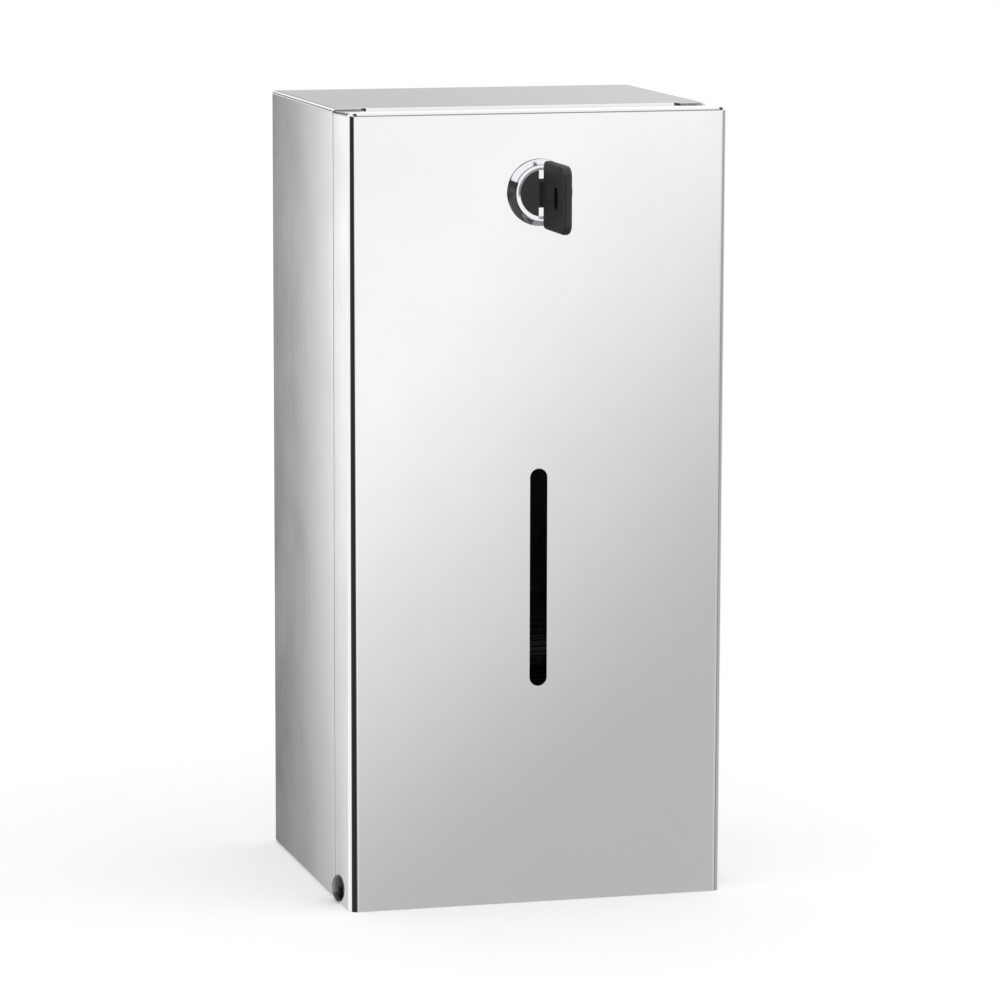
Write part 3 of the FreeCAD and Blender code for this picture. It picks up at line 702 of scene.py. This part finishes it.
def makeWafers(facts):
    # one stamped wafer with a window, then a row of them
    build = bmesh.new()
    around = facts["points"]

    def outline(halfWidth, halfHeight, corner, i):
        angle = math.tau * (i + 0.5) / around
        a, b = math.cos(angle), math.sin(angle)
        reach = min(halfWidth / max(abs(a), 1e-9), halfHeight / max(abs(b), 1e-9))
        x, z = a * reach, b * reach
        overX, overZ = abs(x) - (halfWidth - corner), abs(z) - (halfHeight - corner)
        if overX > 0 and overZ > 0:
            length = math.hypot(overX, overZ)
            x = math.copysign(halfWidth - corner + overX * corner / length, x)
            z = math.copysign(halfHeight - corner + overZ * corner / length, z)
        return x, z

    loops = []
    wide, tall = facts["window"]
    for halfWidth, halfHeight, corner in ((facts["width"] / 2, facts["height"] / 2, facts["corner"]),
                                          (wide / 2, tall / 2, facts["windowCorner"])):
        for distance in (0, facts["thickness"]):
            points = [outline(halfWidth, halfHeight, corner, i) for i in range(around)]
            loops.append([build.verts.new((x, distance, z)) for x, z in points])
    for first, second in ((0, 1), (1, 3), (3, 2), (2, 0)):
        for i in range(around):
            n = (i + 1) % around
            build.faces.new([loops[first][i], loops[first][n], loops[second][n], loops[second][i]])
    wafer = meshOf(build)
    row = {"Count": facts["Count"], "Column Step": (0, facts["pitch"], 0)}
    place = (0, boxOf["lock_wafers"][0].y, lockHeight)
    finished(repeated(wafer, row, finishes["brass_wafer"], place), "lock_wafers", "lockWafers")


makeLockHousing(camLock)
makeLockCore(camLock)
makeLockNut(lockNut)
makeLockWasher(toothedWasher)
makeTongue(lockTail)
makeWafers(wafers)
print("lock done")


flatKey = {
    "halfThickness": 1.0 * mm,
    "halfHeight": 3.5 * mm,
    "edge": 0.15 * mm,
    "groove": 0.42 * mm,
    "grooveHeights": (-1.35 * mm, -1.1 * mm, -0.2 * mm, 0.05 * mm),  # on one face, upside down on the other
    "cuts": ((4.2, 1.0), (7.2, 0.5), (10.2, 1.2), (13.2, 0.8), (16.2, 1.0)),  # from the tip, depth, mm
    "cutFlat": 0.35 * mm,  # half of a cut's floor
    "cutSlope": 0.9,
    "tipLength": 2.0 * mm,
    "tipSlope": 0.95,
    "steps": 146,  # sections along the blade
    "gripEdge": 0.35 * mm,
    "slotCentre": 10.0 * mm,  # of the ring slot, from the grip's front end
    "slotReach": (3.2 * mm, 8.0 * mm),
    "slotWall": 0.6,  # faces turned less than this towards the side are the slot's walls
}


def makeKeyBlade(facts):
    low, high = boxOf["key_blade"]
    half, thick, groove = facts["halfHeight"], facts["halfThickness"], facts["groove"]
    edge, slope = facts["edge"], facts["tipSlope"]
    under, floorLow, floorHigh, over = facts["grooveHeights"]
    build = bmesh.new()
    rings = []
    for i in range(facts["steps"] + 1):
        fromTip = (high.y - low.y) * i / facts["steps"]
        reach = half
        if fromTip < facts["tipLength"]:
            reach = half - facts["tipLength"] * slope + fromTip * slope
        for middle, depth in facts["cuts"]:
            off = max(0, abs(fromTip - middle * mm) - facts["cutFlat"])
            reach = min(reach, half - max(0, depth * mm - off * facts["cutSlope"]))
        y = high.y - fromTip
        section = [(-thick + edge, -reach), (thick - edge, -reach), (thick, -reach + edge),
                   (thick, under), (thick - groove, floorLow), (thick - groove, floorHigh),
                   (thick, over), (thick, reach - edge)]
        section += [(-x, -z) for x, z in section]
        rings.append([build.verts.new((x, y, lockHeight + z)) for x, z in section])
    count = len(rings[0])
    for first, second in zip(rings, rings[1:]):
        for i in range(count):
            build.faces.new([first[i], first[(i + 1) % count], second[(i + 1) % count], second[i]])
    build.faces.new(rings[0])
    build.faces.new(rings[-1])
    piece = finished(meshOf(build), "key_blade", "keyBlade", 25.0)
    piece.visible_glossy = False


def makeKeyGrip(facts):
    mesh = softened(merged("key_bow"), facts["gripEdge"], 3)
    piece = finished(mesh, "key_bow", "keyGrip", None)
    # second material: painted shade on the faces of the ring slot's walls
    mesh.materials.append(slotShadeFinish)
    low = boxOf["key_bow"][0]
    for face in mesh.polygons:
        off = face.center - Vector((0, low.y + facts["slotCentre"], lockHeight))
        inside = abs(off.y) < facts["slotReach"][0] and abs(off.z) < facts["slotReach"][1]
        if inside and abs(face.normal.x) < facts["slotWall"]:
            face.material_index = 1
    piece.visible_glossy = False


makeKeyBlade(flatKey)
makeKeyGrip(flatKey)
print("key done")


weldStud = {
    "radius": 2.0 * mm,
    "pitch": 0.7 * mm,
    "depth": 0.35 * mm,
    "tipShare": 0.8,  # radius of the stud's end face against the stud's
    "tipLength": 0.3 * mm,
    "threadRings": (0.35 * mm, 0.9 * mm),  # plain lengths before and after the rings that carry the thread
    "threadCut": (0.3 * mm, 0.8 * mm),  # and before and after the cut
}
carrierNut = {"flats": 7.0 * mm, "bore": 2.0 * mm, "boreEdge": 2.3 * mm, "boreDepth": 0.3 * mm,
              "faceEdge": 0.08 * mm, "slope": 0.55, "steps": 4}


def makeFasteners(facts, nutFacts):
    low, high = boxOf["carrier_studs"]
    columns = high.x - low.x - 2 * facts["radius"]
    rows = high.z - low.z - 2 * facts["radius"]
    grid = {"Count": 4, "Columns": 2, "Column Step": (columns, 0, 0), "Row Step": (0, 0, rows)}
    corner = (low.x + facts["radius"], 0, low.z + facts["radius"])
    start, end = low.y, high.y
    radius = facts["radius"]
    ringsFrom, ringsTo = start + facts["threadRings"][0], end - facts["threadRings"][1]
    profile = [(0, start), (radius * facts["tipShare"], start), (radius, start + facts["tipLength"])]
    profile += threadRings(radius, ringsFrom, ringsTo, facts["pitch"])
    profile += [(radius, end), (0, end)]
    before, after = facts["threadCut"]
    cut = threaded(facts["pitch"], facts["depth"], start + before, end - after)
    stud = turned(profile, axis="Y", segments=32, closed=False, shape=cut)
    finished(repeated(stud, grid, finishes["zinc_plated_steel"], corner), "carrier_studs", "weldStuds", 50.0)
    low, high = boxOf["carrier_nuts"]
    nut = turned(nutProfile(nutFacts, low.y, high.y), axis="Y", segments=72, shape=hexagon(nutFacts["flats"]))
    finished(repeated(nut, grid, finishes["zinc_plated_steel"], corner), "carrier_nuts", "carrierNuts", 22.0)


makeFasteners(weldStud, carrierNut)
print("fasteners done")


spindle = {
    "axleRadius": 4.0 * mm,
    "axleChamfer": 0.5 * mm,
    "capRadius": 6.5 * mm,
    "capDepth": 4.0 * mm,
    "capFloor": 1.0 * mm,
    "capDimple": (2.6 * mm, 2.3 * mm, 0.3 * mm),  # radius at the mouth and floor, and depth
    "edge": 0.2 * mm,  # small chamfer on caps and tube
    "tubeRadius": 13.55 * mm,
    "boreRadius": 12.5 * mm,
    "ribs": 36,
    "ribRadius": 0.45 * mm,
    "ribInset": 0.8 * mm,
    "ribChamfer": 0.3 * mm,
    "flange": 1.2 * mm,
    "flangeRadius": 14.0 * mm,
    "flangeEdge": (0.4 * mm, 0.12 * mm),  # rounded corner: where it starts, and its middle
    "bushBore": 4.075 * mm,
    "bushEdge": 0.3 * mm,
    "plugLength": 11.2 * mm,
    "plugTaper": (0.5 * mm, 0.8 * mm),  # lead-in at the plug's end, inwards and along
    "dish": (11.6 * mm, 11.4 * mm, 6.6 * mm, 6.4 * mm),  # radii of the recess in the bush's face
    "dishDepth": 0.6 * mm,
    "spokes": 6,
    "spokeCentre": (0.4 * mm, 9.0 * mm),  # below the bush's face, and from the axle's centre line
    "spokeSize": (0.7 * mm, 1.0 * mm, 5.4 * mm),
    "spokeEdge": 0.12 * mm,
}


def rod(radius, start, end, chamfer, segments=48):
    return turned([(0, start), (radius - chamfer, start), (radius, start + chamfer), (radius, end - chamfer),
                   (radius - chamfer, end), (0, end)], axis="X", segments=segments, closed=False)


def makeAxle(facts, which, label):
    low, high = boxOf[which + "_axle"]
    place = (0, (low.y + high.y) / 2, (low.z + high.z) / 2)
    axle = rod(facts["axleRadius"], low.x, high.x, facts["axleChamfer"], 64)
    axle.transform(Matrix.Translation(place))
    finished(axle, which + "_axle", label + "Axle")
    return place


def makeAxleCaps(facts, which, label, place):
    end = boxOf[which + "_axle_caps"][1].x
    inner = end - facts["capDepth"]
    radius, floor, edge = facts["capRadius"], facts["capFloor"], facts["edge"]
    mouth, base, depth = facts["capDimple"]
    profile = [(facts["axleRadius"], inner), (radius - edge, inner), (radius, inner + edge)]
    profile += arc((radius - floor, end - floor), floor, 0, 90, 8)
    profile += [(mouth, end), (base, end - depth), (0, end - depth), (0, end - floor),
                (facts["axleRadius"], end - floor)]
    cap = turned(profile, axis="X", segments=56)
    caps = repeated(cap, sidePair, finishes["bush_plastic"], place)
    finished(caps, which + "_axle_caps", label + "AxleCaps")


def makeRoller(facts, which, label, place):
    low, high = boxOf[which + "_roller_tube"]
    outer, bore, edge = facts["tubeRadius"], facts["boreRadius"], facts["edge"]
    tube = turned([(bore, low.x), (outer - edge, low.x), (outer, low.x + edge), (outer, high.x - edge),
                   (outer - edge, high.x), (bore, high.x)], axis="X", segments=144)
    inset = facts["ribInset"]
    rib = rod(facts["ribRadius"], low.x + inset, high.x - inset, facts["ribChamfer"], 10)
    rib.transform(Matrix.Translation((0, 0, outer)))
    around = {"Count": facts["ribs"], "Turn": (math.tau / facts["ribs"], 0, 0)}
    ribs = repeated(rib, around, finishes["roller_plastic"])
    roller = joined([tube, ribs])
    roller.transform(Matrix.Translation(place))
    finished(roller, which + "_roller_tube", label + "Roller", 40.0)


def makeBushes(facts, which, label, place):
    end = boxOf[which + "_roller_bushes"][1].x
    flangeIn, plug = end - facts["flange"], end - facts["plugLength"]
    axleHole, bore, radius = facts["bushBore"], facts["boreRadius"], facts["flangeRadius"]
    inwards, along = facts["plugTaper"]
    corner, middle = facts["flangeEdge"]
    edge, floor = facts["bushEdge"], end - facts["dishDepth"]
    outerMouth, outerFloor, innerFloor, innerMouth = facts["dish"]
    profile = [(axleHole, plug), (bore - inwards, plug), (bore, plug + along), (bore, flangeIn),
               (radius, flangeIn), (radius, end - corner), (radius - middle, end - middle),
               (radius - corner, end), (outerMouth, end), (outerFloor, floor), (innerFloor, floor),
               (innerMouth, end), (axleHole + edge, end), (axleHole, end - edge)]
    bush = turned(profile, axis="X", segments=96)
    below, out = facts["spokeCentre"]
    build = bmesh.new()
    bmesh.ops.create_cube(build, size=1.0, matrix=Matrix.Translation((end - below, 0, out))
                          @ Matrix.Diagonal((*facts["spokeSize"], 1)))
    spoke = softened(meshOf(build), facts["spokeEdge"])
    around = {"Count": facts["spokes"], "Turn": (math.tau / facts["spokes"], 0, 0)}
    spokes = repeated(spoke, around, finishes["bush_plastic"])
    both = repeated(joined([bush, spokes]), sidePair, finishes["bush_plastic"], place)
    finished(both, which + "_roller_bushes", label + "RollerBushes")


def makeSpindle(facts, which, label):
    place = makeAxle(facts, which, label)
    makeAxleCaps(facts, which, label, place)
    makeRoller(facts, which, label, place)
    makeBushes(facts, which, label, place)


makeSpindle(spindle, "lower", "lower")
makeSpindle(spindle, "upper", "reserve")
print("spindles done")


# Pale floor, even white light, and the soft panels that the polished sheet mirrors.
# Azimuth is in degrees, 0 in front, 90 on the right; tones are 1 for plain white.
studio = {
    "floorSize": 8.0,
    "floorColour": "#F4F4F4",
    "floorGlow": 0.17,
    "light": 0.78,  # plain level of the light on the pieces
    "key": 0.42,  # extra light from the upper front
    "keyDirection": (0.30, -0.75, 0.59),
    "ring": (  # what stands round the object at its own height
        (-180.0, 0.36), (-166.0, 0.42), (-164.0, 1.18), (-86.0, 1.2), (-83.5, 0.065), (-62.0, 0.05),
        (-50.0, 0.03), (-22.0, 0.035), (-12.0, 0.14), (-3.2, 1.0), (18.0, 1.0), (21.0, 1.2), (43.0, 1.2),
        (47.0, 0.50), (104.0, 0.55), (114.0, 1.1), (148.0, 1.1), (160.0, 0.36), (180.0, 0.36)),
    "leftPanel": (  # edge of the panel behind on the left, by azimuth
        (-170.5, 0.24), (-167.34, 0.265), (-167.25, 0.275), (-167.15, 0.32), (-167.04, 0.40), (-166.94, 0.55),
        (-166.83, 0.78), (-166.72, 0.945), (-166.60, 1.12), (-166.45, 1.24), (-166.0, 1.24)),
    "leftFade": (  # its tone by elevation
        (-15.0, 0.53), (-12.0, 0.722), (-10.4, 0.828), (-8.6, 0.93), (-6.8, 0.98), (-5.0, 1.0)),
    "frontSlant": (0.78, 1.02),  # low down and high up
    "frontFade": (  # tone of the front panel by height, with its slant
        (-16.0, 0.62), (-14.7, 0.618), (-13.3, 0.626), (-12.75, 0.665), (-11.75, 0.775), (-10.26, 0.944),
        (-8.74, 1.107), (-7.82, 1.182), (-7.34, 1.212), (-5.83, 1.218), (-5.2, 1.195), (-4.0, 1.175)),
    "back": (  # tone behind the object by elevation
        (-4.0, 0.34), (0.0, 0.30), (1.0, 1.12), (2.6, 1.12), (3.4, 0.66), (5.0, 0.66), (5.8, 0.25),
        (10.5, 0.25), (12.0, 1.1), (16.0, 1.15)),
    "sky": 1.15,
    "ground": 0.38,
    "groundFrontLeft": (0.34, 0.10),
    "groundLeft": 0.085,
    "cardTone": 0.05,
    "lampTone": 0.15,
    "peak": 1.3,  # brightest tone that a ramp holds
    # areas: from, to and width of the soft border in degrees of azimuth, then of elevation,
    # where a fourth value is the area's strength
    "frontSpan": (-6, 60, 4),
    "leftSpan": (-170.5, -165.5, 0.5),
    "lowCard": ((-82, -14, 4), (-2, 16, 3)),
    "highCard": ((-86, -52, 4), (-2, 24, 3)),
    "frontCard": ((-14, 25, 4), (2, 40, 3, 0.7)),
    "leftPatch": ((-86, -60, 4), (-3, 9.5, 3)),
    "groundLeftSpan": (-88, -60, 4),
    # borders: from and to of a soft change in degrees, some with the values before and after it
    "slantFrom": 14,  # azimuth from which the front panel's tones slant
    "slantReach": (-2, 6),
    "slantHeight": (-12, -7),
    "behindTurn": (160, 169, 1.1, 0.9),
    "behindBorder": (150, 157),
    "lampBorder": (82.5, 86),
    "darkLeft": (-88, -84),
    "darkRight": (6, 12, 1.0, 0.0),
    "deepBorder": (-34, -26),
    "groundBorder": (-17.2, -15.8),
    "aboveBorder": (-2.6, -1.2),
}


def makeWorld(facts):
    world = bpy.data.worlds.new("studio")
    scene.world = world
    world.use_nodes = True
    tree = world.node_tree
    tree.nodes.clear()

    def maths(kind, a, b=None):
        made = addNode(tree, "ShaderNodeMath", {"operation": kind})
        for i, value in enumerate((a, b)):
            if isinstance(value, (int, float)):
                made.inputs[i].default_value = value
            elif value is not None:
                tree.links.new(value, made.inputs[i])
        return made.outputs[0]

    def step(source, start, end, low=0.0, high=1.0):
        made = addNode(tree, "ShaderNodeMapRange", {"interpolation_type": "SMOOTHSTEP", "From Min": start,
                       "From Max": end, "To Min": low, "To Max": high}, {"Value": source})
        return made.outputs["Result"]

    def within(source, start, end, soft, full=1.0):
        # full between start and end, with soft borders of the given width
        return maths("MULTIPLY", step(source, start - soft / 2, start + soft / 2),
                     step(source, end - soft / 2, end + soft / 2, full, 0.0))

    def area(spans):
        # a patch given by its span of azimuth and its span of elevation
        return maths("MULTIPLY", within(azimuth, *spans[0]), within(elevation, *spans[1]))

    def blend(factor, a, b):
        made = addNode(tree, "ShaderNodeMix", {"data_type": "FLOAT"}, {0: factor})
        for i, value in ((2, a), (3, b)):
            if isinstance(value, (int, float)):
                made.inputs[i].default_value = value
            else:
                tree.links.new(value, made.inputs[i])
        return made.outputs[0]

    def toneRamp(source, stops):
        # stops are (value, tone); the ramp runs over their whole range
        first, last = stops[0][0], stops[-1][0]
        place = maths("DIVIDE", maths("SUBTRACT", source, first), last - first)
        ramp = addNode(tree, "ShaderNodeValToRGB", {}, {0: place})
        made = ramp.color_ramp.elements
        peak = facts["peak"]
        for i, (value, tone) in enumerate(stops):
            stop = made[i] if i < 2 else made.new(1.0)
            stop.position = (value - first) / (last - first)
            stop.color = (tone / peak,) * 3 + (1,)
        return maths("MULTIPLY", ramp.outputs["Color"], peak)

    direction = addNode(tree, "ShaderNodeTexCoord").outputs["Generated"]
    split = addNode(tree, "ShaderNodeSeparateXYZ", {}, {0: direction})
    sideways, ahead = split.outputs["X"], maths("MULTIPLY", split.outputs["Y"], -1)
    azimuth = maths("DEGREES", maths("ARCTAN2", sideways, ahead))
    elevation = maths("DEGREES", maths("ARCSINE", split.outputs["Z"]))
    # round the object at its own height
    ring = toneRamp(azimuth, facts["ring"])
    slantLow, slantHigh = facts["slantReach"]
    off = maths("MINIMUM", maths("SUBTRACT", azimuth, facts["slantFrom"]), slantHigh)
    slopes = [-slope for slope in facts["frontSlant"]]
    off = maths("MAXIMUM", off, slantLow)
    slant = maths("MULTIPLY", off, step(elevation, *facts["slantHeight"], *slopes))
    front = toneRamp(maths("ADD", elevation, slant), facts["frontFade"])
    ring = maths("MULTIPLY", ring, blend(within(azimuth, *facts["frontSpan"]), 1.0, front))
    left = maths("MULTIPLY", toneRamp(azimuth, facts["leftPanel"]), toneRamp(elevation, facts["leftFade"]))
    ring = blend(within(azimuth, *facts["leftSpan"]), ring, left)
    # above it: bright, with dark cards in front and a dark lamp head overhead
    low, high, middle = [area(facts[name]) for name in ("lowCard", "highCard", "frontCard")]
    card = maths("MAXIMUM", maths("MAXIMUM", low, high), middle)
    above = blend(card, facts["sky"], facts["cardTone"])
    above = blend(area(facts["leftPatch"]), above, facts["groundLeft"])
    behind = maths("MULTIPLY", toneRamp(elevation, facts["back"]), step(azimuth, *facts["behindTurn"]))
    above = blend(step(maths("ABSOLUTE", azimuth), *facts["behindBorder"]), above, behind)
    above = blend(step(elevation, *facts["lampBorder"]), above, facts["lampTone"])
    # below it: grey, darker in front on the left
    dark = maths("MULTIPLY", step(azimuth, *facts["darkLeft"]), step(azimuth, *facts["darkRight"]))
    shallowTone, deepTone = facts["groundFrontLeft"]
    deep = blend(step(elevation, *facts["deepBorder"]), deepTone, shallowTone)
    below = blend(dark, facts["ground"], deep)
    below = blend(within(azimuth, *facts["groundLeftSpan"]), below, facts["groundLeft"])
    both = blend(step(elevation, *facts["groundBorder"]), below, ring)
    both = blend(step(elevation, *facts["aboveBorder"]), both, above)
    key = addNode(tree, "ShaderNodeVectorMath", {"operation": "DOT_PRODUCT", 1: facts["keyDirection"]},
                  {0: direction}).outputs["Value"]
    light = maths("ADD", facts["light"], maths("MULTIPLY", step(key, 0.0, 1.0), facts["key"]))
    rays = addNode(tree, "ShaderNodeLightPath")
    shown = blend(rays.outputs["Is Glossy Ray"], light, both)
    shown = blend(rays.outputs["Is Camera Ray"], shown, 1.0)
    back = addNode(tree, "ShaderNodeBackground", {"Color": (1, 1, 1, 1)}, {"Strength": shown})
    addNode(tree, "ShaderNodeOutputWorld", {}, {"Surface": back.outputs[0]})


def makeFloor(facts):
    half = facts["floorSize"] / 2
    height = cadBox[0].z
    mesh = bpy.data.meshes.new("floor")
    corners = [(-half, -half, height), (half, -half, height), (half, half, height), (-half, half, height)]
    mesh.from_pydata(corners, [], [(0, 1, 2, 3)])
    floor = bpy.data.objects.new("floor", mesh)
    scene.collection.objects.link(floor)
    material, tree, shader = newMaterial("paleFloor", 0.0, {"Roughness": 0.9, "Specular IOR Level": 0.0})
    shader.inputs["Base Color"].default_value = linear(facts["floorColour"])
    rays = addNode(tree, "ShaderNodeLightPath")
    glow = addNode(tree, "ShaderNodeMath", {"operation": "MULTIPLY", 1: facts["floorGlow"]},
                   {0: rays.outputs["Is Camera Ray"]})
    shader.inputs["Emission Color"].default_value = (1, 1, 1, 1)
    tree.links.new(glow.outputs[0], shader.inputs["Emission Strength"])
    mesh.materials.append(material)
    floor.visible_glossy = False


makeWorld(studio)
makeFloor(studio)

cameraFacts = {
    "place": (-0.48371, -1.840798, 0.276895),
    "yaw": 15.285,
    "pitch": 8.701,
    "roll": 0.13,
    "lens": 179.3125,
    "sensor": 36.0,
}


def makeCamera(facts):
    data = bpy.data.cameras.new("camera")
    data.lens = facts["lens"]
    data.sensor_width = facts["sensor"]
    data.clip_end = 50.0
    camera = bpy.data.objects.new("camera", data)
    scene.collection.objects.link(camera)
    turn = (Matrix.Rotation(math.radians(-facts["yaw"]), 4, "Z")
            @ Matrix.Rotation(math.radians(90 - facts["pitch"]), 4, "X")
            @ Matrix.Rotation(math.radians(facts["roll"]), 4, "Z"))
    camera.matrix_world = Matrix.Translation(facts["place"]) @ turn
    scene.camera = camera


makeCamera(cameraFacts)
scene.view_settings.view_transform = "Standard"
print("studio and camera done")
